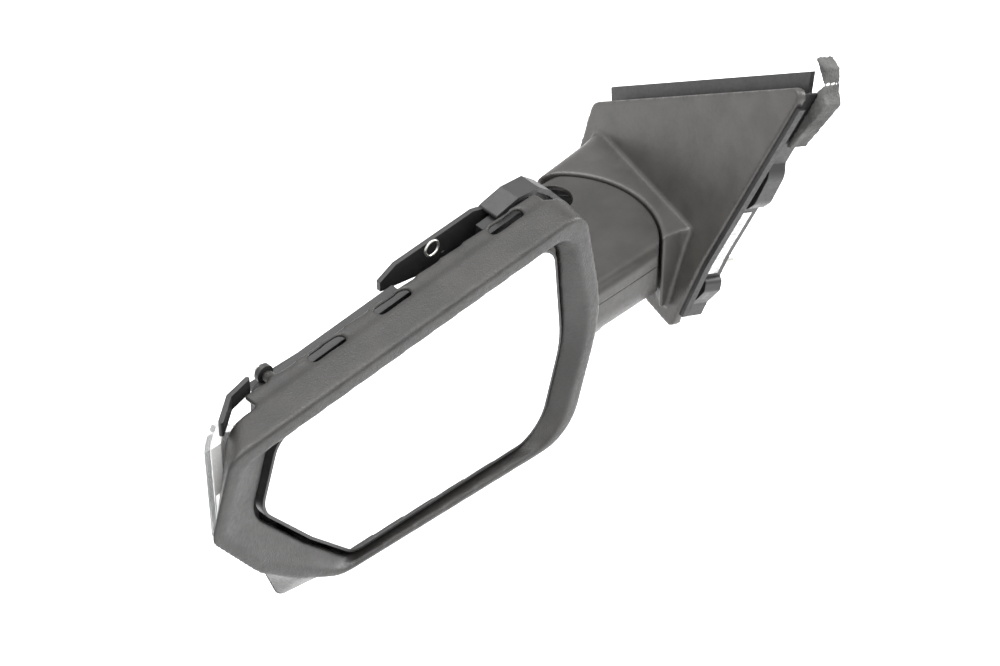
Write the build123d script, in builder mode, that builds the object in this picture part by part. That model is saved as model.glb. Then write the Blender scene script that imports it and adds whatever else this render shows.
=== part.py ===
from build123d import *
import os
from math import cos, radians, sin

# Left-hand door mirror, painted cap not fitted. Millimetres, +X towards the car, +Y forwards,
# +Z up. The origin is the centre of the face that bolts to the door. Points of the head and of
# the neck are given from the fold axis, at the height of the neck's top. Points of the sail are
# given on the door face, x rearwards and y up.
os.makedirs("parts", exist_ok=True)

# The door face and the fold axis
SAIL_TOE = 15.0
SAIL_LEAN = 15.0
FOLD_X = -87.5
FOLD_Y = 15.0
FOLD_Z = -13.0

# Sail
SAIL_HEIGHT = 24.0
SAIL_SKIN = 3.0
SAIL_LIP = 5.0
SAIL_CORNERS = [(42, -76), (49, -31), (81, 94), (-69, -9.5), (-69, -45), (-45, -74)]
SAIL_RADII = [5, 60, 4, 9, 15, 14]
GASKET_THICK = 4.0
GASKET_WIDTH = 7.0
GASKET_INSET = 6.5
INNER_WALL = 2.5
INNER_FLANGE = 12.0
INNER_FLANGE_THICK = 2.0
LEDGE_LOW = 10.0
LEDGE_THICK = 2.5
LEDGE_WIDTH = 7.0
LEDGE_ZONE = [(-64, -16), (72, 80), (60, 130), (-95, 40)]
SEAL_THICK = 2.6
SEAL_WIDTH = 3.5
SEAL_ZONE = [(36, -66), (110, -66), (110, 80), (66, 80), (36, -20)]
POCKET_CORNERS = [(52, 46), (61, 43), (65.5, 31), (62, 13), (57, 6), (50, 10)]
POCKET_RADII = [3, 6, 10, 8, 3, 2]
HOOD_CORNERS = [(33, -46), (46, -44), (47, -51), (38, -68), (32, -68)]
HOOD_RADII = [2, 3, 3, 4, 2]
POCKET_HIGH = 14.0
FOAM_BLOCK = [(66, 101), (75, 99), (80, 88), (84, 84), (70, 51), (61, 47), (62, 62), (78, 92)]
FOAM_BLOCK_LOW = 1.0
FOAM_BLOCK_HIGH = 11.0
BRACKET_CORNERS = [
    (-53, -38),
    (-42, -57),
    (29, -61),
    (33, -53),
    (36, -30),
    (55, 46),
    (46, 54),
    (38, 49),
    (-47, -20),
]
BRACKET_THICK = 6.0
BRACKET_GAP = 1.0
STUD_SPOTS = [(-40, -32), (24, -50), (45, 43)]
STUD_R = 3.0
STUD_LENGTH = 18.0
STUD_TIP = 0.6
STUD_SHOULDER_R = 4.0
STUD_HEAD_R = 6.0
STUD_HEAD = 3.0
GROMMET_SPOT = (8, -27)
GROMMET_R = 11.0
GROMMET_BORE_R = 6.0
GROMMET_LIP = 2.5
GROMMET_LIP_THICK = 2.0
GROMMET_PROUD = 2.0
GROMMET_GAP = 0.1
LABEL_LENGTH = 44.0
LABEL_WIDTH = 10.0
LABEL_THICK = 0.3
LABEL_SPOT = (60, -19.5)
LABEL_LOW = 7.0

# Neck and fold joint
NECK_R = 49.0
NECK_HALF = 40.0
NECK_DEPTH = 45.0
NECK_WALL = 2.5
NECK_SPLIT = 11.0
NECK_END = -30.0
NECK_ROUND = 25.0
NECK_EDGE = 6.0
COLLAR_GAP = 1.5
COLLAR_WALL = 3.0
COLLAR_OUT = [(27, 45.5), (63, 49), (100, 57), (92, -62), (46, -39), (35, -36.5)]
COLLAR_IN = [(30, 42.5), (63, 46), (100, 53), (92, -55), (47, -35.5), (35, -32)]
COLLAR_PROUD = 1.0
COLLAR_ROUND = 9.0
TUBE_R = 9.0
TUBE_BORE_R = 6.5
RUNNING_FIT = 0.05
FOOT_R = 24.0
FOOT_LOW = -41.0
FOOT_TOP = -32.0
ARM_HALF = 15.0
ARM_REACH = 100.0
FOOT_CHAMFER = 3.0
DETENT_RING = 2.0
DETENT_GAP = 0.4
CAM_THICK = 3.1
CAM_GROOVE = 2.0
DETENT_R = 18.0
DETENT_BALL_R = 1.8
DETENT_COUNT = 3
DETENT_TURN = 60.0
GROOVE_PLAY = 0.8
HUB_FLOOR = 4.0
HUB_WALL = 2.5
HUB_HIGH = -8.0
ARM_GAP = 0.8
HUB_ARM = [(0, -20), (0, 20), (-40, 18), (-100, -8), (-100, -24.5), (-14, -24.5)]
SPRING_ROOM = 15.0
SPRING_WIRE_R = 1.8
SPRING_R = 15.5
SPRING_TURNS = 2.5
WASHER_THICK = 2.0
TUBE_FLANGE = 1.2
TUBE_FLANGE_R = 11.0
OPENING_LENGTH = 48.0
OPENING_WIDTH = 21.0
OPENING_SPOT = (5, 25)

# Rim, glass and their depths, y from the fold axis
RIM_Y = -60.0
THROAT_Y = -53.0
REAR_Y = -42.0
FLANGE_Y = -33.0
BEZEL_WALL = 2.5
FLANGE_STEP = 0.8
FRONT = [
    (-44, 79.5),
    (-31, 10),
    (-52, -61),
    (-204, -50.5),
    (-229, -32.5),
    (-250, -15),
    (-276, 23),
    (-262, 63.5),
]
FRONT_RADII = [14, 90, 24, 30, 30, 40, 10, 10]
LIP = [(-53, 70), (-39, 8), (-60, -56.5), (-203, -47.5), (-245, -13), (-268, 23), (-256, 55)]
LIP_RADII = [12, 80, 20, 24, 30, 9, 9]
REAR = [(-40, 81), (-32, 8), (-50, -65), (-186, -68), (-227, -60.5), (-240, -22), (-257, 17), (-248, 64)]
REAR_RADII = [16, 90, 22, 20, 9, 40, 12, 12]
GLASS = [(-61, 65.5), (-55.5, 2), (-70, -50.5), (-190, -46.5), (-215, -19), (-242, 16.5), (-230, 52.5)]
GLASS_RADII = [12, 60, 22, 14, 30, 13, 12]
GLASS_Y = -55.0
GLASS_THICK = 2.0
PAD_THICK = 0.8
HOLDER_FLOOR = 2.2
HOLDER_RIM = 1.6
THROAT_GAP = 4.2
SLOT_LENGTH = 20.0
SLOT_WIDTH = 5.5
SLOT_XS = [-186, -146, -75]
FLANGE_ENDS = (-231, -52)
BOSS_SPOTS = [(-49.5, 42), (-55.4, -36), (-209, -37), (-213.5, 62.4)]
BOSS_R = 3.0

# Head frame
FRAME = [(-46, 74.5), (-38, 8), (-55, -59), (-191, -58.5), (-221, -40), (-222, 17), (-221, 58)]
FRAME_RADII = [14, 60, 20, 22, 12, 12, 8]
FRAME_Y = -34.0
FRAME_BACK_Y = -24.5
FRAME_WALL = 2.5
RIB_DEPTH = 10.0
RIB_WALL = 2.0
RIB_INSET = 6.0
RIB_ZS = [-28, -8, 20, 48]
RIB_XS = [-205, -100, -75]
LUG_R = 4.5
BUCKET_GAP = 4.0
FIN = [
    (-139, 62),
    (-139, 67.5),
    (-129, 72.4),
    (-80, 76),
    (-73, 74),
    (-60, 77),
    (-47, 75.8),
    (-39, 69),
    (-31, 59),
    (-23, 42),
]
FIN_WALL = 2.5
FIN_Y = -21.0
FIN_BACK_Y = -18.5
HOOD_Y = -30.5
HOOD_FROM = 4
CHANNEL = [(-135, -82), (-31.5, -21.5), (58, 90)]
RING_SPOT = (-112, -27, 76)
RING_R = 4.0
RING_WIRE_R = 0.6

# Lower cover and lamp
LOWER = [(-36, -12), (-50, -65), (-186, -68), (-227, -60.5), (-242, -14)]
LOWER_RADII = [3, 22, 20, 9, 3]
LOWER_NOSE = [(-50, -12), (-62, -54), (-168, -55), (-200, -46), (-210, -14)]
LOWER_FRONT_Y = 10.0
COVER_TOP = -18.0
COVER_WALL = 2.5
COVER_ROUND = 2.0
LENS_THICK = 2.5
LAMP_CENTER = (-216.6, -81.2)
LENS_R = 60.0
LAMP_ARC = (100, 38)
CASE_DEPTH = 4.0
CASE_WALL = 1.2
BOARD_THICK = 1.0
BOARD_HEIGHT = 20.0
BOARD_TRIM = 4.0
LENS_LOW = 4.0
LENS_HIGH = 56.0
LENS_TOP = [(-300, 70), (-262, 70), (-226, 36), (-200, 24), (-200, 90), (-300, 90)]
BRACKET_LINE = [(-224, -27), (-237, -30), (-250, -40)]
BRACKET_WALL = 2.4
BRACKET_LOW = 58.6
BRACKET_HIGH = 66.6

# Glass drive
PIVOT_X = -146.0
PIVOT_Z = 2.0
PIVOT_Y = -43.0
LEVER = 26.0
TRUNNION_R = 2.0
EAR_R = 3.6
EAR_NEAR = 7.0
EAR_THICK = 4.0
CROSS_HALF = 4.0
BALL_R = 4.0
CUP_GAP = 0.6
CUP_WALL = 2.0
CUP_DEPTH = 2.6
ROD_R = 3.0
ROD_TAIL_Y = -24.0
BOX_HALF = 39.5
BOX_Y = -35.5
BOX_BACK_Y = -17.5
BOX_WALL = 2.0
BOX_COVER = 2.5
BOX_ROUND = 8.0
BOX_EAR = 31.0
BOX_EAR_WALL = 2.2
WHEEL_R = 10.5
WHEEL_THICK = 6.0
WHEEL_TEETH = 24
TOOTH_GAP = 1.1
TOOTH_DEPTH = 0.8
WORM_R = 3.0
WORM_LENGTH = 15.0
WORM_GAP = 0.4
WORM_GROOVES = 6
WORM_PITCH = 2.0
WORM_GROOVE = 0.9
MOTOR_LENGTH = 20.0
MOTOR_WIDE = 15.0
MOTOR_THICK = 11.0
MOTOR_ROUND = 2.0
SHAFT_R = 1.0
SHAFT_LENGTH = 1.5
PAD_INSET = 4.0
SCREW_R = 1.45
SCREW_CORE_R = 1.25
SCREW_BITE = 8.0
SCREW_HEAD_R = 2.8
SCREW_HEAD = 2.0
CLEARANCE = 0.3
CUT = 100.0

rearward = Vector(-sin(radians(SAIL_TOE)), -cos(radians(SAIL_TOE)), 0)
outward = Vector(
    -cos(radians(SAIL_TOE)) * cos(radians(SAIL_LEAN)),
    sin(radians(SAIL_TOE)) * cos(radians(SAIL_LEAN)),
    sin(radians(SAIL_LEAN)),
)


def door(height):
    """Plane parallel to the door face, this far outboard of it."""
    return Plane(origin=outward * height, x_dir=rearward, z_dir=outward)


def level(z):
    """Horizontal plane through the fold axis."""
    return Plane(origin=(FOLD_X, FOLD_Y, FOLD_Z + z))


def facing(y):
    """Upright plane that faces rearwards, as the glass does."""
    return Plane(origin=(FOLD_X, FOLD_Y + y, FOLD_Z), x_dir=(1, 0, 0), z_dir=(0, -1, 0))


def rounded(corners, radii):
    """Closed outline with its own radius at each corner."""
    return FilletPolyline(*corners, radius=radii, close=True)


def outline(plane, corners, radii, grow=0.0):
    """Sketch of a rounded outline, grown or shrunk by an offset."""
    with BuildSketch(plane) as shape:
        with BuildLine():
            rounded(corners, radii)
        make_face()
        if grow:
            offset(amount=grow, kind=Kind.ARC if grow > 0 else Kind.INTERSECTION)
    return shape.sketch


def between(first, last, share):
    """Values part of the way from one list to another, for an outline between two depths."""
    return [tuple(a + share * (b - a) for a, b in zip(p, q)) for p, q in zip(first, last)]


def slab(corners, radii, grow, y_near, y_far, mode=Mode.ADD):
    """Plate of a rounded outline, from its rearward face at y_near to y_far."""
    extrude(outline(facing(y_far), corners, radii, grow), amount=y_far - y_near, mode=mode)


def sail_slab(grow, low, high, mode=Mode.ADD):
    """Plate of the sail's outline between two heights above the door face."""
    extrude(outline(door(low), SAIL_CORNERS, SAIL_RADII, grow), amount=high - low, mode=mode)


def discs(plane, spots, radius, height, mode=Mode.ADD):
    """Round bosses or holes of one size on a plane."""
    with BuildSketch(plane) as rounds:
        with Locations(*spots):
            Circle(radius)
    extrude(rounds.sketch, amount=height, mode=mode)


def block(plane, center, size, height, mode=Mode.ADD):
    """Rectangular block standing on a plane."""
    with BuildSketch(plane) as base:
        with Locations(center):
            Rectangle(*size)
    extrude(base.sketch, amount=height, mode=mode)


def polygon(plane, corners, height, mode=Mode.ADD):
    """Straight-sided block standing on a plane."""
    with BuildSketch(plane) as base:
        with BuildLine():
            Polyline(*corners, close=True)
        make_face()
    extrude(base.sketch, amount=height, mode=mode)


def screw_shanks(plane, spots, length):
    """Pan-head screws whose heads sit on a plane, with their shanks below it."""
    discs(plane, spots, SCREW_HEAD_R, SCREW_HEAD)
    discs(plane, spots, SCREW_R, -length)


# ---------------------------------------------------------------- fixed base
# The arm and its foot carry the fold joint below the neck's top
foot_thick = FOOT_TOP - FOOT_LOW
with BuildPart() as bracket_arm:
    block(level(FOOT_LOW), (ARM_REACH / 2, 0), (ARM_REACH, 2 * ARM_HALF), foot_thick)
    split(bisect_by=door(BRACKET_THICK / 2), keep=Keep.TOP)

with BuildPart() as bracket_foot:
    discs(level(FOOT_LOW), [(0, 0)], FOOT_R, foot_thick)
    chamfer(bracket_foot.edges().group_by(Axis.Z)[0], FOOT_CHAMFER)

with BuildPart() as base_bracket:
    with BuildSketch(door(0)):
        add(outline(Plane.XY, SAIL_CORNERS, SAIL_RADII, -GASKET_INSET - GASKET_WIDTH - BRACKET_GAP))
        with BuildLine():
            Polyline(*BRACKET_CORNERS, close=True)
        make_face(mode=Mode.INTERSECT)
    extrude(amount=BRACKET_THICK)
    add(bracket_arm.part)
    add(bracket_foot.part)
    discs(level(FOOT_LOW), [(0, 0)], TUBE_R, foot_thick, Mode.SUBTRACT)
    discs(door(0), STUD_SPOTS, STUD_SHOULDER_R, BRACKET_THICK, Mode.SUBTRACT)
    discs(door(0), [GROMMET_SPOT], GROMMET_R + GROMMET_GAP, BRACKET_THICK, Mode.SUBTRACT)

cam_low = FOOT_TOP + DETENT_RING + DETENT_GAP
hub_low = cam_low + CAM_THICK
spring_low = hub_low + HUB_FLOOR
tube_top = spring_low + SPRING_ROOM + WASHER_THICK
with BuildPart() as pivot_tube:
    discs(level(FOOT_LOW), [(0, 0)], TUBE_R, tube_top - FOOT_LOW)
    discs(level(tube_top), [(0, 0)], TUBE_FLANGE_R, TUBE_FLANGE)
    discs(level(FOOT_LOW), [(0, 0)], TUBE_BORE_R, tube_top + TUBE_FLANGE - FOOT_LOW, Mode.SUBTRACT)

with BuildPart() as detent_ring:
    discs(level(FOOT_TOP), [(0, 0)], FOOT_R - 1, DETENT_RING)
    discs(level(FOOT_TOP), [(0, 0)], TUBE_R, DETENT_RING, Mode.SUBTRACT)
    with Locations(level(FOOT_TOP + DETENT_RING)):
        with PolarLocations(DETENT_R, DETENT_COUNT, start_angle=DETENT_TURN):
            Sphere(DETENT_BALL_R, arc_size1=0)

with BuildPart() as mounting_studs:
    discs(door(BRACKET_THICK), STUD_SPOTS, STUD_HEAD_R, STUD_HEAD)
    discs(door(BRACKET_THICK), STUD_SPOTS, STUD_SHOULDER_R, -BRACKET_THICK)
    discs(door(0), STUD_SPOTS, STUD_R, -STUD_LENGTH)
    rims = mounting_studs.edges().filter_by(GeomType.CIRCLE)
    chamfer(rims.group_by(lambda rim: rim.center().dot(outward))[0], STUD_TIP)

grommet_length = BRACKET_THICK + 2 * GROMMET_PROUD
with BuildPart() as harness_grommet:
    discs(door(-GROMMET_PROUD), [GROMMET_SPOT], GROMMET_R, grommet_length)
    discs(door(BRACKET_THICK), [GROMMET_SPOT], GROMMET_R + GROMMET_LIP, GROMMET_LIP_THICK)
    discs(door(-GROMMET_PROUD), [GROMMET_SPOT], GROMMET_BORE_R, grommet_length, Mode.SUBTRACT)

# Sail cover: a thin tray with a short lip, joined to the fixed collar of the neck
collar_r = NECK_R + COLLAR_GAP
skin_low = SAIL_HEIGHT - SAIL_SKIN
with BuildPart() as neck_shell:
    polygon(level(-NECK_DEPTH), COLLAR_OUT, NECK_DEPTH + COLLAR_PROUD)
    top_edges = neck_shell.edges().group_by(Axis.Z)[-1]
    fillet(top_edges.filter_by(lambda e: e.center().Y > FOLD_Y + NECK_HALF), COLLAR_ROUND)
    discs(level(-NECK_DEPTH), [(0, 0)], collar_r, NECK_DEPTH + COLLAR_PROUD, Mode.SUBTRACT)
    split(bisect_by=door(skin_low), keep=Keep.TOP)

arm_room = 2 * (ARM_HALF + COLLAR_WALL)
with BuildPart() as neck_hollow:
    polygon(level(-NECK_DEPTH), COLLAR_IN, NECK_DEPTH - COLLAR_WALL)
    discs(level(-NECK_DEPTH), [(0, 0)], collar_r + COLLAR_WALL, NECK_DEPTH, Mode.SUBTRACT)
    block(level(FOOT_LOW - CLEARANCE), (60, 0), (60, arm_room), foot_thick + COLLAR_WALL)
    split(bisect_by=door(skin_low - 1), keep=Keep.TOP)

with BuildPart() as sail_cover:
    sail_slab(0, SAIL_HEIGHT - SAIL_LIP, SAIL_HEIGHT)
    sail_slab(-SAIL_SKIN, SAIL_HEIGHT - SAIL_LIP, skin_low, Mode.SUBTRACT)
    add(neck_shell.part)
    add(neck_hollow.part, mode=Mode.SUBTRACT)
    discs(level(-NECK_DEPTH - COLLAR_GAP), [(0, 0)], collar_r, NECK_DEPTH + 10, Mode.SUBTRACT)

# Inner body: the moulded wall behind the sail cover, with a ledge along the sloping top, a
# pocket on its rearward wall and a hood at its lowest corner
inner_inset = -(SAIL_SKIN + CLEARANCE)
inner_room = inner_inset - INNER_WALL
pocket = outline(door(GASKET_THICK), POCKET_CORNERS, POCKET_RADII)
hood = outline(door(GASKET_THICK), HOOD_CORNERS, HOOD_RADII)
with BuildPart() as base_inner_cover:
    sail_slab(inner_inset, GASKET_THICK, skin_low - CLEARANCE)
    extrude(pocket, amount=POCKET_HIGH - GASKET_THICK)
    extrude(hood, amount=POCKET_HIGH - GASKET_THICK)
    with BuildSketch(door(LEDGE_LOW)) as ledge:
        add(outline(Plane.XY, SAIL_CORNERS, SAIL_RADII, LEDGE_WIDTH))
        with BuildLine():
            Polyline(*LEDGE_ZONE, close=True)
        make_face(mode=Mode.INTERSECT)
    extrude(ledge.sketch, amount=LEDGE_THICK)
    sail_slab(inner_room, GASKET_THICK, SAIL_HEIGHT, Mode.SUBTRACT)
    sail_slab(inner_inset, GASKET_THICK, GASKET_THICK + INNER_FLANGE_THICK)
    sail_slab(-INNER_FLANGE, GASKET_THICK, GASKET_THICK + INNER_FLANGE_THICK, Mode.SUBTRACT)

with BuildPart() as foam_gasket:
    sail_slab(-GASKET_INSET, 0, GASKET_THICK)
    sail_slab(-GASKET_INSET - GASKET_WIDTH, 0, GASKET_THICK, Mode.SUBTRACT)

with BuildPart() as edge_seal:
    with BuildSketch(door(SAIL_HEIGHT - SAIL_LIP)):
        add(outline(Plane.XY, SAIL_CORNERS, SAIL_RADII, SEAL_THICK))
        add(outline(Plane.XY, SAIL_CORNERS, SAIL_RADII), mode=Mode.SUBTRACT)
        with BuildLine():
            Polyline(*SEAL_ZONE, close=True)
        make_face(mode=Mode.INTERSECT)
    extrude(amount=SEAL_WIDTH)

# The foam block fills the corner between the sail and the window frame
with BuildPart() as corner_foam:
    polygon(door(FOAM_BLOCK_LOW), FOAM_BLOCK, FOAM_BLOCK_HIGH - FOAM_BLOCK_LOW)
    sail_slab(CLEARANCE - SAIL_SKIN, 0, SAIL_HEIGHT, Mode.SUBTRACT)

# The part label is wrapped on the rearward wall of the inner body
with BuildPart() as part_label:
    with BuildSketch(door(LABEL_LOW)):
        add(outline(Plane.XY, SAIL_CORNERS, SAIL_RADII, inner_inset + LABEL_THICK))
        add(outline(Plane.XY, SAIL_CORNERS, SAIL_RADII, inner_inset), mode=Mode.SUBTRACT)
        with Locations(LABEL_SPOT):
            Rectangle(LABEL_LENGTH, LABEL_LENGTH, mode=Mode.INTERSECT)
    extrude(amount=LABEL_WIDTH)

# ---------------------------------------------------------------- neck of the head
groove = DETENT_BALL_R + GROOVE_PLAY
with BuildPart() as detent_cam:
    discs(level(cam_low), [(0, 0)], FOOT_R - 1, CAM_THICK)
    discs(level(cam_low), [(0, 0)], TUBE_R + RUNNING_FIT, CAM_THICK, Mode.SUBTRACT)
    with BuildSketch(level(cam_low)):
        Circle(DETENT_R + groove)
        Circle(DETENT_R - groove, mode=Mode.SUBTRACT)
    extrude(amount=CAM_GROOVE, mode=Mode.SUBTRACT)

with BuildPart() as fold_spring:
    rise = SPRING_ROOM - 2 * SPRING_WIRE_R
    with BuildLine(level(spring_low + SPRING_WIRE_R)) as coil:
        Helix(rise / SPRING_TURNS, rise, SPRING_R)
    with BuildSketch(Plane(origin=coil.line @ 0, z_dir=coil.line % 0)):
        Circle(SPRING_WIRE_R)
    sweep(is_frenet=True)

with BuildPart() as spring_washer:
    discs(level(spring_low + SPRING_ROOM), [(0, 0)], FOOT_R - HUB_WALL - 1, WASHER_THICK)
    discs(level(spring_low + SPRING_ROOM), [(0, 0)], TUBE_R + RUNNING_FIT, WASHER_THICK, Mode.SUBTRACT)


def neck_outline(height, grow):
    """Plan of the turning neck: a round end about the fold axis, with flat sides."""
    half = NECK_HALF + grow
    with BuildSketch(level(height)) as plan:
        Circle(NECK_R + grow)
        with Locations((NECK_R / 2, 0)):
            Rectangle(NECK_R * 2, 2 * half, mode=Mode.INTERSECT)
        with Locations((NECK_END / 2, 0)):
            Rectangle(-NECK_END, 2 * half)
        with Locations((NECK_END - CUT / 2, 0)):
            Rectangle(CUT, 2 * CUT, mode=Mode.SUBTRACT)
    return plan.sketch


def open_end(low, half, height):
    """Opens the neck's outboard end, where the head frame enters."""
    block(level(low), (NECK_END, 0), (CUT / 5, 2 * half), height)


with BuildPart() as upper_room:
    extrude(neck_outline(-NECK_SPLIT, -NECK_WALL), amount=NECK_SPLIT - NECK_WALL)
    open_end(-NECK_SPLIT, NECK_HALF - NECK_WALL, NECK_SPLIT - NECK_WALL)
    fillet(upper_room.edges().group_by(Axis.Z)[-1].filter_by(Axis.X), NECK_EDGE - NECK_WALL)

upper_low = CLEARANCE / 2 - NECK_SPLIT
with BuildPart() as neck_upper_cover:
    extrude(neck_outline(upper_low, 0), amount=-upper_low)
    fillet(neck_upper_cover.edges().group_by(Axis.Z)[-1].filter_by(Axis.X), NECK_EDGE)
    add(upper_room.part, mode=Mode.SUBTRACT)
    with BuildSketch(level(-NECK_WALL - 1)):
        with Locations(OPENING_SPOT):
            SlotOverall(OPENING_LENGTH, OPENING_WIDTH)
        with Locations((NECK_END, OPENING_SPOT[1])):
            Rectangle(OPENING_LENGTH / 2, OPENING_WIDTH)
    extrude(amount=NECK_WALL + 2, mode=Mode.SUBTRACT)

with BuildPart() as lower_room:
    extrude(neck_outline(NECK_WALL - NECK_DEPTH, -NECK_WALL), amount=NECK_DEPTH)
    fillet(lower_room.edges().group_by(Axis.Z)[0].filter_by(Axis.X), NECK_ROUND - NECK_WALL)
    open_end(-NECK_DEPTH, NECK_HALF - NECK_ROUND, NECK_DEPTH)

with BuildPart() as neck_lower_cover:
    extrude(neck_outline(-NECK_DEPTH, 0), amount=NECK_DEPTH - NECK_SPLIT - CLEARANCE / 2)
    fillet(neck_lower_cover.edges().group_by(Axis.Z)[0].filter_by(Axis.X), NECK_ROUND)
    add(lower_room.part, mode=Mode.SUBTRACT)
    # room for the arm to sweep through as the head folds
    block(level(FOOT_LOW - COLLAR_GAP), (50, 0), (116, 2 * CUT), foot_thick + 2 * COLLAR_GAP, Mode.SUBTRACT)

# ---------------------------------------------------------------- head frame
bucket_half = BOX_HALF + BUCKET_GAP
bucket_room = bucket_half - FRAME_WALL
bucket_y = BOX_BACK_Y + BOX_COVER
bucket_back_y = bucket_y + FRAME_WALL
drive_spots = [(PIVOT_X + side * BOX_EAR, PIVOT_Z + side * BOX_EAR) for side in (-1, 1)]
with BuildPart() as head_frame:
    slab(FRAME, FRAME_RADII, 0, FRAME_Y, FRAME_BACK_Y)
    slab(FRAME, FRAME_RADII, -FRAME_WALL, FRAME_Y, FRAME_BACK_Y - FRAME_WALL, Mode.SUBTRACT)
    discs(facing(FRAME_BACK_Y), BOSS_SPOTS, LUG_R, FRAME_WALL)
    # ribs on the forward side
    with BuildSketch(facing(FRAME_BACK_Y)):
        for z in RIB_ZS:
            with Locations((PIVOT_X, z)):
                Rectangle(3 * CUT, RIB_WALL)
        for x in RIB_XS:
            with Locations((x, 0)):
                Rectangle(RIB_WALL, 3 * CUT)
        add(outline(Plane.XY, FRAME, FRAME_RADII, -RIB_INSET), mode=Mode.INTERSECT)
    extrude(amount=-RIB_DEPTH)
    # fin above the clip flange, which turns into a hood over the neck
    fin_back = facing(FIN_BACK_Y)
    polygon(fin_back, FIN + [(-60, 30), (-100, 55)], FIN_BACK_Y - FIN_Y)
    with BuildSketch(fin_back):
        with BuildLine():
            Polyline(*FIN[HOOD_FROM:])
            offset(amount=FIN_WALL / 2, side=Side.BOTH)
        make_face()
    extrude(amount=FIN_BACK_Y - HOOD_Y)
    # channel between the fin and the flange
    (x0, x1), (y0, y1), (z0, z1) = CHANNEL
    block(level(z0), ((x0 + x1) / 2, (y0 + y1) / 2), (x1 - x0, y1 - y0), z1 - z0, Mode.SUBTRACT)
    # bucket around the glass drive
    bucket_size = (2 * bucket_half, 2 * bucket_half)
    block(facing(bucket_back_y), (PIVOT_X, PIVOT_Z), bucket_size, bucket_back_y - FRAME_BACK_Y)
    block(facing(bucket_y), (PIVOT_X, PIVOT_Z), (2 * bucket_room, 2 * bucket_room), CUT / 2, Mode.SUBTRACT)
    # hub of the fold joint and the arm that carries the head
    polygon(level(hub_low), HUB_ARM, HUB_HIGH - hub_low)
    discs(level(hub_low), [(0, 0)], FOOT_R, HUB_HIGH - hub_low)
    discs(level(spring_low), [(0, 0)], FOOT_R - HUB_WALL, CUT, Mode.SUBTRACT)
    discs(level(hub_low), [(0, 0)], TUBE_R + RUNNING_FIT, HUB_FLOOR, Mode.SUBTRACT)
    discs(facing(0), BOSS_SPOTS, SCREW_R, CUT, Mode.SUBTRACT)
    discs(facing(bucket_back_y), drive_spots, SCREW_R, FRAME_WALL, Mode.SUBTRACT)

with BuildPart() as retaining_ring:
    x, y, z = RING_SPOT
    with Locations(Location((FOLD_X + x, FOLD_Y + y, FOLD_Z + z), (90, 0, 30))):
        Torus(RING_R, RING_WIRE_R)

# ---------------------------------------------------------------- rim and covers
throat_back = THROAT_Y + BEZEL_WALL
throat_share = (THROAT_Y - RIM_Y) / (REAR_Y - RIM_Y)
with BuildPart() as bezel:
    rim_body = [
        outline(facing(RIM_Y), FRONT, FRONT_RADII),
        outline(facing(REAR_Y), REAR, REAR_RADII),
    ]
    loft(rim_body, ruled=True)
    rim_room = [
        outline(facing(THROAT_Y), between(FRONT, REAR, throat_share), REAR_RADII, -BEZEL_WALL),
        outline(facing(REAR_Y + 1), REAR, REAR_RADII, -BEZEL_WALL),
    ]
    loft(rim_room, ruled=True, mode=Mode.SUBTRACT)
    slab(GLASS, GLASS_RADII, THROAT_GAP + BEZEL_WALL, RIM_Y + 3, throat_back)
    funnel = [
        outline(facing(RIM_Y), LIP, LIP_RADII),
        outline(facing(THROAT_Y), GLASS, GLASS_RADII, THROAT_GAP),
    ]
    loft(funnel, mode=Mode.SUBTRACT)
    slab(GLASS, GLASS_RADII, THROAT_GAP, THROAT_Y - 1, throat_back, Mode.SUBTRACT)
    # flange for the painted cap, with its clip slots
    with BuildSketch(facing(FLANGE_Y)):
        add(outline(Plane.XY, REAR, REAR_RADII, -FLANGE_STEP))
        add(outline(Plane.XY, REAR, REAR_RADII, -FLANGE_STEP - BEZEL_WALL), mode=Mode.SUBTRACT)
        with Locations(((FLANGE_ENDS[0] + FLANGE_ENDS[1]) / 2, CUT / 2 + 50)):
            Rectangle(FLANGE_ENDS[1] - FLANGE_ENDS[0], CUT, mode=Mode.INTERSECT)
    extrude(amount=FLANGE_Y - REAR_Y + 2)
    for x in SLOT_XS:
        block(level(50), (x, (REAR_Y + FLANGE_Y) / 2), (SLOT_LENGTH, SLOT_WIDTH), CUT, Mode.SUBTRACT)
    boss_back = FRAME_BACK_Y - FRAME_WALL
    discs(facing(boss_back), BOSS_SPOTS, BOSS_R, boss_back - THROAT_Y)
    discs(facing(boss_back), BOSS_SPOTS, SCREW_CORE_R, SCREW_BITE + 2, Mode.SUBTRACT)

with BuildPart() as bezel_screws:
    # seen from the front, so x counts the other way
    frame_back = Plane(facing(FRAME_BACK_Y).origin, x_dir=(-1, 0, 0), z_dir=(0, 1, 0))
    bezel_spots = [(-x, z) for x, z in BOSS_SPOTS]
    screw_shanks(frame_back, bezel_spots, FRAME_WALL)
    discs(frame_back, bezel_spots, SCREW_CORE_R, -FRAME_WALL - SCREW_BITE)

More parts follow.
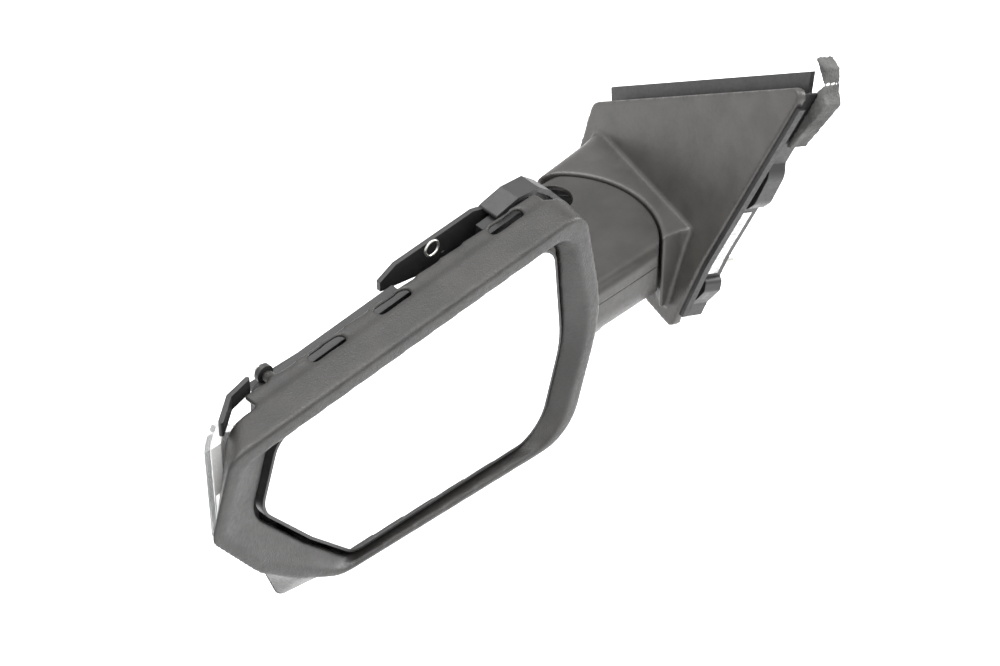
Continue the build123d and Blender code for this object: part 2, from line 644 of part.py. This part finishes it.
with BuildPart() as lower_cover:
    hull = [
        outline(facing(REAR_Y + CLEARANCE), LOWER, LOWER_RADII),
        outline(facing(LOWER_FRONT_Y), LOWER_NOSE, LOWER_RADII),
    ]
    loft(hull, ruled=True)
    fillet(lower_cover.faces().sort_by(Axis.Y)[-1].edges(), COVER_ROUND)
    hull_room = [
        outline(facing(REAR_Y), LOWER, LOWER_RADII, -COVER_WALL),
        outline(facing(LOWER_FRONT_Y - COVER_WALL), LOWER_NOSE, LOWER_RADII, -COVER_WALL),
    ]
    loft(hull_room, ruled=True, mode=Mode.SUBTRACT)
    block(level(COVER_TOP), (PIVOT_X, 0), (3 * CUT, 3 * CUT), CUT, Mode.SUBTRACT)
    # room for the head frame, and a passage for its arm
    slab(FRAME, FRAME_RADII, CLEARANCE, FRAME_Y, FRAME_BACK_Y + CLEARANCE, Mode.SUBTRACT)
    with BuildSketch(level(hub_low - ARM_GAP)):
        with BuildLine():
            Polyline(*HUB_ARM, close=True)
        make_face()
        offset(amount=ARM_GAP, kind=Kind.INTERSECTION)
    extrude(amount=CUT, mode=Mode.SUBTRACT)


def lamp_band(outer_r, inner_r, low, high, trim=0.0):
    """Curved strip that wraps the outer end of the head, behind the rim."""
    start, turn = LAMP_ARC
    with BuildSketch(level(low)) as plan:
        with BuildLine():
            outer = CenterArc(LAMP_CENTER, outer_r, start + trim, turn - 2 * trim)
            inner = CenterArc(LAMP_CENTER, inner_r, start + trim, turn - 2 * trim)
            Line(outer @ 0, inner @ 0)
            Line(outer @ 1, inner @ 1)
        make_face()
    return extrude(plan.sketch, amount=high - low, mode=Mode.PRIVATE)


def trim_lamp():
    """Cuts the lamp to its sloping top edge and clear of the rim."""
    polygon(facing(CUT), LENS_TOP, 2 * CUT, Mode.SUBTRACT)
    block(facing(REAR_Y + CLEARANCE), LAMP_CENTER, (3 * CUT, 4 * CUT), CUT, Mode.SUBTRACT)


case_r = LENS_R - LENS_THICK - CLEARANCE
board_r = case_r - CASE_DEPTH + CASE_WALL + BOARD_THICK
with BuildPart() as signal_lens:
    add(lamp_band(LENS_R, LENS_R - LENS_THICK, LENS_LOW, LENS_HIGH))
    trim_lamp()

with BuildPart() as signal_housing:
    add(lamp_band(case_r, case_r - CASE_DEPTH, LENS_LOW, LENS_HIGH))
    trim_lamp()
    case_low = LENS_LOW + CASE_WALL
    room = lamp_band(case_r, board_r - BOARD_THICK, case_low, case_low + BOARD_HEIGHT + 2, BOARD_TRIM / 2)
    add(room, mode=Mode.SUBTRACT)

with BuildPart() as signal_board:
    board_low = case_low + 1
    add(lamp_band(board_r, board_r - BOARD_THICK, board_low, board_low + BOARD_HEIGHT, BOARD_TRIM))

with BuildPart() as corner_bracket:
    with BuildSketch(level(BRACKET_LOW)):
        with BuildLine():
            Polyline(*BRACKET_LINE)
            offset(amount=BRACKET_WALL / 2, side=Side.BOTH)
        make_face()
    extrude(amount=BRACKET_HIGH - BRACKET_LOW)

# ---------------------------------------------------------------- glass and its drive
pivot = (FOLD_X + PIVOT_X, FOLD_Y + PIVOT_Y, FOLD_Z + PIVOT_Z)
drive_x = Plane(origin=pivot, x_dir=(0, 1, 0), z_dir=(1, 0, 0))
drive_z = Plane(origin=pivot, x_dir=(1, 0, 0), z_dir=(0, 0, 1))
glass_back = GLASS_Y + GLASS_THICK
pad_back = glass_back + PAD_THICK
holder_back = pad_back + HOLDER_FLOOR
tilt_spot = (PIVOT_X, PIVOT_Z - LEVER)
pan_spot = (PIVOT_X + LEVER, PIVOT_Z)
jack_spots = [tilt_spot, pan_spot]


def ears(hinge, root_y):
    """Two rounded ears with bores on a hinge line, standing on the plane y = root_y."""
    root = root_y - PIVOT_Y
    across = hinge is drive_x
    for start in (-EAR_NEAR - EAR_THICK, EAR_NEAR):
        with BuildSketch(hinge.offset(start)) as ear:
            Circle(EAR_R)
            with Locations((root / 2, 0) if across else (0, root / 2)):
                Rectangle(*((abs(root), 2 * EAR_R) if across else (2 * EAR_R, abs(root))))
            Circle(TRUNNION_R + RUNNING_FIT, mode=Mode.SUBTRACT)
        extrude(ear.sketch, amount=EAR_THICK)


with BuildPart() as mirror_glass:
    slab(GLASS, GLASS_RADII, 0, GLASS_Y, glass_back)

with BuildPart() as heater_pad:
    slab(GLASS, GLASS_RADII, -PAD_INSET, glass_back, pad_back)

cup_r = BALL_R + CUP_GAP
cup_mouth = PIVOT_Y + CUP_DEPTH
with BuildPart() as glass_holder:
    slab(GLASS, GLASS_RADII, HOLDER_RIM, GLASS_Y, holder_back)
    slab(GLASS, GLASS_RADII, 0, GLASS_Y, glass_back, Mode.SUBTRACT)
    slab(GLASS, GLASS_RADII, -PAD_INSET, glass_back, pad_back, Mode.SUBTRACT)
    discs(facing(cup_mouth), jack_spots, cup_r + CUP_WALL, cup_mouth - holder_back)
    discs(facing(cup_mouth), jack_spots, cup_r, CUP_DEPTH + cup_r, Mode.SUBTRACT)
    ears(drive_z, holder_back)

with BuildPart() as pivot_cross:
    with Locations(drive_x.location):
        Box(2 * CROSS_HALF, 2 * CROSS_HALF, 2 * CROSS_HALF)
    for hinge in (drive_x, drive_z):
        with BuildSketch(hinge.offset(-EAR_NEAR - EAR_THICK)):
            Circle(TRUNNION_R)
        extrude(amount=2 * (EAR_NEAR + EAR_THICK))

wheel_y = (BOX_Y + BOX_BACK_Y) / 2
wheel_back = facing(wheel_y + WHEEL_THICK / 2)
drive = {}
for name, spot in (("tilt", tilt_spot), ("pan", pan_spot)):
    with BuildPart() as jack:
        with Locations((FOLD_X + spot[0], FOLD_Y + PIVOT_Y, FOLD_Z + spot[1])):
            Sphere(BALL_R)
        discs(facing(ROD_TAIL_Y), [spot], ROD_R, ROD_TAIL_Y - PIVOT_Y)
    drive[name + "_jack"] = jack
    with BuildPart() as wheel:
        discs(wheel_back, [spot], WHEEL_R, WHEEL_THICK)
        discs(wheel_back, [spot], ROD_R + RUNNING_FIT, WHEEL_THICK, Mode.SUBTRACT)
        with BuildSketch(wheel_back):
            with Locations(spot):
                with PolarLocations(WHEEL_R, WHEEL_TEETH):
                    Rectangle(2 * TOOTH_DEPTH, TOOTH_GAP)
        extrude(amount=WHEEL_THICK, mode=Mode.SUBTRACT)
    drive[name + "_drive_wheel"] = wheel

# Worms lie beside the wheels, one across and one upright, each on its motor's shaft
worm_reach = WHEEL_R + WORM_GAP + WORM_R
worm_lines = {
    "tilt": ((PIVOT_X, tilt_spot[1] + worm_reach), (-1, 0, 0)),
    "pan": ((pan_spot[0] - worm_reach, PIVOT_Z), (0, 0, 1)),
}
for name, ((x, z), axis) in worm_lines.items():
    line = Plane(origin=(FOLD_X + x, FOLD_Y + wheel_y, FOLD_Z + z), x_dir=(0, 1, 0), z_dir=axis)
    with BuildPart() as worm:
        discs(line.offset(-WORM_LENGTH / 2), [(0, 0)], WORM_R, WORM_LENGTH)
        for turn in range(WORM_GROOVES):
            with BuildSketch(line.offset(WORM_PITCH * (turn + 1) - (WORM_LENGTH + WORM_GROOVE) / 2)):
                Circle(WORM_R)
                Circle(WORM_R - TOOTH_DEPTH, mode=Mode.SUBTRACT)
            extrude(amount=WORM_GROOVE, mode=Mode.SUBTRACT)
    drive[name + "_worm"] = worm
    with BuildPart() as motor:
        with BuildSketch(line.offset(WORM_LENGTH / 2 + SHAFT_LENGTH)):
            RectangleRounded(MOTOR_THICK, MOTOR_WIDE, MOTOR_ROUND)
        extrude(amount=MOTOR_LENGTH)
        discs(line.offset(WORM_LENGTH / 2), [(0, 0)], SHAFT_R, SHAFT_LENGTH)
    drive[name + "_motor"] = motor

box_signs = [(-1, -1), (1, -1), (1, 1), (-1, 1)]
box_corners = [(PIVOT_X + right * BOX_HALF, PIVOT_Z + up * BOX_HALF) for right, up in box_signs]
box_radii = [BOX_ROUND] * 4
with BuildPart() as drive_housing:
    slab(box_corners, box_radii, 0, BOX_Y, BOX_BACK_Y)
    slab(box_corners, box_radii, -BOX_WALL, BOX_Y + BOX_WALL, BOX_BACK_Y, Mode.SUBTRACT)
    box_depth = BOX_BACK_Y - BOX_Y - BOX_WALL
    discs(facing(BOX_BACK_Y), drive_spots, SCREW_R + BOX_EAR_WALL, box_depth)
    discs(facing(BOX_BACK_Y), drive_spots, SCREW_CORE_R, SCREW_BITE + 2, Mode.SUBTRACT)
    discs(facing(BOX_Y + BOX_WALL), jack_spots, ROD_R + RUNNING_FIT, BOX_WALL, Mode.SUBTRACT)
    ears(drive_x, BOX_Y)

with BuildPart() as drive_cover:
    slab(box_corners, box_radii, 0, BOX_BACK_Y, bucket_y)
    discs(facing(bucket_y), drive_spots, SCREW_R, BOX_COVER, Mode.SUBTRACT)

with BuildPart() as drive_screws:
    bucket_back = Plane(facing(bucket_back_y).origin, x_dir=(-1, 0, 0), z_dir=(0, 1, 0))
    screw_spots = [(-x, z) for x, z in drive_spots]
    screw_shanks(bucket_back, screw_spots, FRAME_WALL + BOX_COVER)
    discs(bucket_back, screw_spots, SCREW_CORE_R, -FRAME_WALL - BOX_COVER - SCREW_BITE)

pieces = {
    "base_bracket": base_bracket,
    "pivot_tube": pivot_tube,
    "detent_ring": detent_ring,
    "mounting_studs": mounting_studs,
    "harness_grommet": harness_grommet,
    "sail_cover": sail_cover,
    "base_inner_cover": base_inner_cover,
    "foam_gasket": foam_gasket,
    "edge_seal": edge_seal,
    "corner_foam": corner_foam,
    "part_label": part_label,
    "detent_cam": detent_cam,
    "fold_spring": fold_spring,
    "spring_washer": spring_washer,
    "neck_upper_cover": neck_upper_cover,
    "neck_lower_cover": neck_lower_cover,
    "head_frame": head_frame,
    "retaining_ring": retaining_ring,
    "bezel": bezel,
    "bezel_screws": bezel_screws,
    "lower_cover": lower_cover,
    "signal_lens": signal_lens,
    "signal_housing": signal_housing,
    "signal_board": signal_board,
    "corner_bracket": corner_bracket,
    "mirror_glass": mirror_glass,
    "heater_pad": heater_pad,
    "glass_holder": glass_holder,
    "pivot_cross": pivot_cross,
    "drive_housing": drive_housing,
    "drive_cover": drive_cover,
    "drive_screws": drive_screws,
    **drive,
}
for label, piece in pieces.items():
    piece.part.label = label
    export_step(piece.part, f"parts/{label}.step")
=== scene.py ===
import bpy
import math
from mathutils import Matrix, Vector


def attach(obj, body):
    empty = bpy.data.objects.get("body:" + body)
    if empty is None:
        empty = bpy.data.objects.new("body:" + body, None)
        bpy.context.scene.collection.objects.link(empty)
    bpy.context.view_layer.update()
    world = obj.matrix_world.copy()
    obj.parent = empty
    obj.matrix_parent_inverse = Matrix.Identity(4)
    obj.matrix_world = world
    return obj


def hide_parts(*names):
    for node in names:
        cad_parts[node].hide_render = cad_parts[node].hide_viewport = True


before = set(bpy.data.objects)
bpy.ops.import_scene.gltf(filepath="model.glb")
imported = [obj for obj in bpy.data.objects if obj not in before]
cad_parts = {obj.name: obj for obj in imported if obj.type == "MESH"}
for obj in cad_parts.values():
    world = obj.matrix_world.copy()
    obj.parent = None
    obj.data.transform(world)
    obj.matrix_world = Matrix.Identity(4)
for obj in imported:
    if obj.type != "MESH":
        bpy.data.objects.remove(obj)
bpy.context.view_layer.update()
bpy.ops.object.select_all(action="DESELECT")


# ---------------------------------------------------------------- base bracket
# The bracket is a die-cast aluminium plate with an arm and a round foot for the fold joint.
# Its skin is slightly grainy from the die, with darker patches where the metal has dulled.
def new_finish(name, colour, roughness, metallic=0.0):
    """A material with its shader's plain values set, and the nodes to build on."""
    finish = bpy.data.materials.new(name)
    finish.use_nodes = True
    shader = finish.node_tree.nodes["Principled BSDF"]
    shader.inputs["Base Color"].default_value = (*colour, 1.0)
    shader.inputs["Roughness"].default_value = roughness
    shader.inputs["Metallic"].default_value = metallic
    return finish, finish.node_tree.nodes, finish.node_tree.links, shader


def noise(nodes, links, scale, detail=2.0, stretch=(1.0, 1.0, 1.0)):
    """Noise in the piece's own coordinates, with its scale in marks per metre."""
    place = nodes.new("ShaderNodeTexCoord")
    turn = nodes.new("ShaderNodeMapping")
    turn.inputs["Scale"].default_value = stretch
    grain = nodes.new("ShaderNodeTexNoise")
    grain.inputs["Scale"].default_value = scale
    grain.inputs["Detail"].default_value = detail
    links.new(place.outputs["Object"], turn.inputs["Vector"])
    links.new(turn.outputs["Vector"], grain.inputs["Vector"])
    return grain.outputs["Fac"]


def spread(nodes, links, value, low, high, start, end):
    """Takes the part of a pattern between low and high to the range from start to end."""
    ramp = nodes.new("ShaderNodeMapRange")
    ramp.inputs["From Min"].default_value = low
    ramp.inputs["From Max"].default_value = high
    ramp.inputs["To Min"].default_value = start
    ramp.inputs["To Max"].default_value = end
    links.new(value, ramp.inputs["Value"])
    return ramp.outputs["Result"]


def tint(nodes, links, amount, dark, light):
    """A colour between two, by a pattern."""
    blend = nodes.new("ShaderNodeMix")
    blend.data_type = "RGBA"
    blend.inputs["A"].default_value = (*dark, 1.0)
    blend.inputs["B"].default_value = (*light, 1.0)
    links.new(amount, blend.inputs["Factor"])
    return blend.outputs["Result"]


def relief(nodes, links, shader, pattern, depth, edge=0.0):
    """Bump of this depth in metres, over edges softened to this radius."""
    bump = nodes.new("ShaderNodeBump")
    bump.inputs["Strength"].default_value = 1.0
    bump.inputs["Distance"].default_value = depth
    links.new(pattern, bump.inputs["Height"])
    if edge:
        soft = nodes.new("ShaderNodeBevel")
        soft.samples = 4
        soft.inputs["Radius"].default_value = edge
        links.new(soft.outputs["Normal"], bump.inputs["Normal"])
    links.new(bump.outputs["Normal"], shader.inputs["Normal"])


def metal(name, dark, light, rough_low, rough_high, marks, depth):
    """Bare or plated metal, patchy in colour and shine."""
    finish, nodes, links, shader = new_finish(name, light, rough_high, 1.0)
    patches = noise(nodes, links, 90.0, 4.0)
    links.new(tint(nodes, links, patches, dark, light), shader.inputs["Base Color"])
    links.new(spread(nodes, links, patches, 0.3, 0.7, rough_low, rough_high), shader.inputs["Roughness"])
    relief(nodes, links, shader, noise(nodes, links, marks, 3.0), depth, 0.0005)
    return finish


def give(finish, *names):
    """Puts a finish on the CAD pieces with these names."""
    for name in names:
        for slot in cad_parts[name].material_slots:
            slot.material = finish


cast_alloy = metal(
    "cast_alloy_skin", (0.30, 0.30, 0.31), (0.52, 0.52, 0.53), 0.42, 0.62, 1400.0, 0.00012,
)
give(cast_alloy, "base_bracket")

# ---------------------------------------------------------------- tube, studs, screws and detents
# The pivot tube and the studs are turned steel with a pale zinc plating. The detent ring, the
# cam and the fold spring are hardened spring steel with a thin film of oil.
zinc = metal(
    "zinc_plated_steel", (0.46, 0.46, 0.42), (0.68, 0.68, 0.66), 0.22, 0.40, 2500.0, 0.00003,
)
give(zinc, "pivot_tube", "mounting_studs", "spring_washer", "bezel_screws", "drive_screws")
spring_steel = metal(
    "oiled_spring_steel", (0.10, 0.10, 0.11), (0.26, 0.26, 0.27), 0.18, 0.36, 3000.0, 0.00002,
)
give(spring_steel, "detent_ring", "detent_cam", "fold_spring")

# ---------------------------------------------------------------- sail, neck and lower covers
# The covers are injection-moulded in black glass-filled plastic, with a fine spark-eroded grain
# from the mould. They clip to the bracket and to the frame of the head.


def moulded(name, dark, light, rough_low, rough_high, grain, depth, edge=0.0006):
    """Moulded plastic: mottled colour, uneven shine, fine grain and softened edges."""
    finish, nodes, links, shader = new_finish(name, dark, rough_high)
    mottle = noise(nodes, links, 60.0, 5.0)
    colour = tint(nodes, links, spread(nodes, links, mottle, 0.35, 0.65, 0.0, 1.0), dark, light)
    links.new(colour, shader.inputs["Base Color"])
    wear = noise(nodes, links, 500.0, 2.0)
    links.new(spread(nodes, links, wear, 0.3, 0.7, rough_low, rough_high), shader.inputs["Roughness"])
    relief(nodes, links, shader, noise(nodes, links, grain, 2.0), depth, edge)
    return finish


def refined(node, name, body, voxel, rounds, finish):
    """A copy of a CAD piece whose corners are worn round, standing for it."""
    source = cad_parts[node]
    mesh = source.data.copy()
    mesh.transform(source.matrix_world)
    piece = bpy.data.objects.new(name, mesh)
    bpy.context.scene.collection.objects.link(piece)
    bpy.ops.object.select_all(action="DESELECT")
    bpy.context.view_layer.objects.active = piece
    piece.select_set(True)
    bpy.ops.mesh.customdata_custom_splitnormals_clear()
    bpy.ops.object.mode_set(mode="EDIT")
    bpy.ops.mesh.select_all(action="SELECT")
    bpy.ops.mesh.remove_doubles(threshold=0.00001)
    bpy.ops.mesh.normals_make_consistent(inside=False)
    bpy.ops.object.mode_set(mode="OBJECT")
    remesh = piece.modifiers.new("even_skin", "REMESH")
    remesh.mode = "VOXEL"
    remesh.voxel_size = voxel
    bpy.ops.object.modifier_apply(modifier=remesh.name)
    soften = piece.modifiers.new("worn_corners", "SMOOTH")
    soften.factor = 0.5
    soften.iterations = rounds
    bpy.ops.object.modifier_apply(modifier=soften.name)
    bpy.ops.object.shade_smooth_by_angle(angle=math.radians(60.0))
    piece.data.materials.clear()
    piece.data.materials.append(finish)
    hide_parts(node)
    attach(piece, body)
    return piece


cover_plastic = moulded(
    "grained_cover_plastic", (0.020, 0.019, 0.0175), (0.030, 0.028, 0.0255), 0.30, 0.44,
    2600.0, 0.00004, 0.0012,
)
give(cover_plastic, "neck_upper_cover", "neck_lower_cover", "lower_cover")
sail_plastic = moulded(
    "grained_sail_plastic", (0.034, 0.032, 0.030), (0.048, 0.045, 0.042), 0.28, 0.42, 2600.0, 0.00005, 0.0012,
)
sail = refined("sail_cover", "sail_plate", "base", 0.0009, 5, sail_plastic)
frame_plastic = moulded(
    "smooth_black_plastic", (0.012, 0.012, 0.012), (0.018, 0.018, 0.018), 0.34, 0.5, 1500.0, 0.00002,
)
give(
    frame_plastic, "base_inner_cover", "head_frame", "drive_housing", "drive_cover",
    "glass_holder", "corner_bracket",
)
rim_plastic = moulded(
    "grained_rim_plastic", (0.012, 0.0114, 0.0106), (0.019, 0.018, 0.0168), 0.32, 0.48,
    1300.0, 0.00022, 0.0015,
)
rim = refined("bezel", "glass_rim", "head", 0.0012, 5, rim_plastic)

# ---------------------------------------------------------------- foam, rubber and label
# The foams are die-cut from dark open-cell sheet and glued on, with torn edges. The seal and the
# grommet are moulded rubber. The label is stuck on, with plain grey marks and nothing to read.
FOAM_TEAR = 0.0006
foam = moulded(
    "open_cell_foam", (0.03, 0.03, 0.03), (0.10, 0.10, 0.095), 0.8, 0.95, 900.0, 0.0006, 0.0,
)
for node, name in (("foam_gasket", "gasket_strip"), ("corner_foam", "torn_foam_block")):
    block = refined(node, name, "base", 0.0007, 2, foam)
    torn = bpy.data.textures.new(name + "_tears", "CLOUDS")
    torn.noise_scale = 0.003
    ragged = block.modifiers.new("torn_cells", "DISPLACE")
    ragged.texture = torn
    ragged.texture_coords = "LOCAL"
    ragged.strength = FOAM_TEAR
    ragged.mid_level = 0.6
    bpy.ops.object.modifier_apply(modifier=ragged.name)
rubber = moulded(
    "seal_rubber_skin", (0.010, 0.010, 0.010), (0.02, 0.02, 0.02), 0.45, 0.6, 1800.0, 0.00004, 0.0004,
)
give(rubber, "edge_seal", "harness_grommet")
paper, nodes, links, shader = new_finish("label_stock", (0.82, 0.82, 0.80), 0.5)
marks = spread(nodes, links, noise(nodes, links, 260.0, 0.0, (1.0, 1.0, 2.5)), 0.60, 0.64, 0.0, 1.0)
links.new(tint(nodes, links, marks, (0.82, 0.82, 0.80), (0.42, 0.42, 0.42)), shader.inputs["Base Color"])
give(paper, "part_label")

# ---------------------------------------------------------------- lamp
# The turn lamp is a clear moulded lens over a pale case, with a strip of circuit board inside.
# The small wire ring and the cans of the drive motors are plated steel.
lens, nodes, links, shader = new_finish("clear_lens_plastic", (0.96, 0.97, 0.97), 0.04)
shader.inputs["Transmission Weight"].default_value = 0.85
shader.inputs["IOR"].default_value = 1.49
give(lens, "signal_lens")
reflector = moulded(
    "pale_lamp_case", (0.62, 0.62, 0.61), (0.72, 0.72, 0.71), 0.18, 0.30, 900.0, 0.00002,
)
give(reflector, "signal_housing")
board, nodes, links, shader = new_finish("board_varnish", (0.75, 0.75, 0.72), 0.4)
give(board, "signal_board")
give(zinc, "retaining_ring", "tilt_motor", "pan_motor")

# ---------------------------------------------------------------- glass and its drive
# The glass is silvered on its back and stuck to a heater film and a holder. The cross, jacks and
# wheels are natural nylon, and the worms are brass.
nylon = moulded("natural_nylon", (0.70, 0.69, 0.64), (0.78, 0.77, 0.72), 0.35, 0.5, 900.0, 0.00002)
give(nylon, "pivot_cross", "tilt_jack", "pan_jack", "tilt_drive_wheel", "pan_drive_wheel")
brass = metal("worm_brass", (0.45, 0.33, 0.13), (0.72, 0.56, 0.25), 0.2, 0.35, 2500.0, 0.00002)
give(brass, "tilt_worm", "pan_worm")
film, nodes, links, shader = new_finish("heater_film", (0.35, 0.18, 0.07), 0.5)
give(film, "heater_pad")
silver, nodes, links, shader = new_finish("silvered_glass", (0.97, 0.975, 0.975), 0.015, 1.0)
give(silver, "mirror_glass")

# ---------------------------------------------------------------- floor, light and camera
# A wide pale floor lies well below the mirror, in an even white room with three softboxes.
FLOOR_SIZE = 24.0
FLOOR_HEIGHT = -0.42
bpy.ops.mesh.primitive_plane_add(size=FLOOR_SIZE, location=(0.0, 0.0, FLOOR_HEIGHT))
floor = bpy.context.object
floor.name = "floor"
pale, nodes, links, shader = new_finish("pale_floor", (0.92, 0.92, 0.92), 0.9)
floor.data.materials.append(pale)

world = bpy.data.worlds.new("studio")
bpy.context.scene.world = world
world.use_nodes = True
world.node_tree.nodes["Background"].inputs["Color"].default_value = (1.0, 1.0, 1.0, 1.0)
world.node_tree.nodes["Background"].inputs["Strength"].default_value = 1.15

softboxes = (
    ("top_softbox", (-0.2, 0.1, 1.5), 1.6, 40.0),
    ("end_softbox", (1.3, -0.5, 0.5), 1.0, 30.0),
    ("rear_softbox", (-1.1, -1.3, 0.7), 1.0, 9.0),
)
aim = Vector((-0.15, 0.0, 0.0))
for name, place, size, power in softboxes:
    lamp = bpy.data.lights.new(name, "AREA")
    lamp.size = size
    lamp.energy = power
    box = bpy.data.objects.new(name, lamp)
    bpy.context.scene.collection.objects.link(box)
    box.location = place
    box.rotation_euler = (aim - Vector(place)).to_track_quat("-Z", "Y").to_euler()

camera_data = bpy.data.cameras.new("camera")
camera_data.lens = 108.0
camera_data.sensor_width = 36.0
camera = bpy.data.objects.new("camera", camera_data)
bpy.context.scene.collection.objects.link(camera)
camera.location = (-0.9059, -0.7885, 0.9554)
camera.rotation_euler = (math.radians(48.0), 0.0, math.radians(-44.0))
bpy.context.scene.camera = camera
bpy.context.scene.view_settings.view_transform = "Standard"
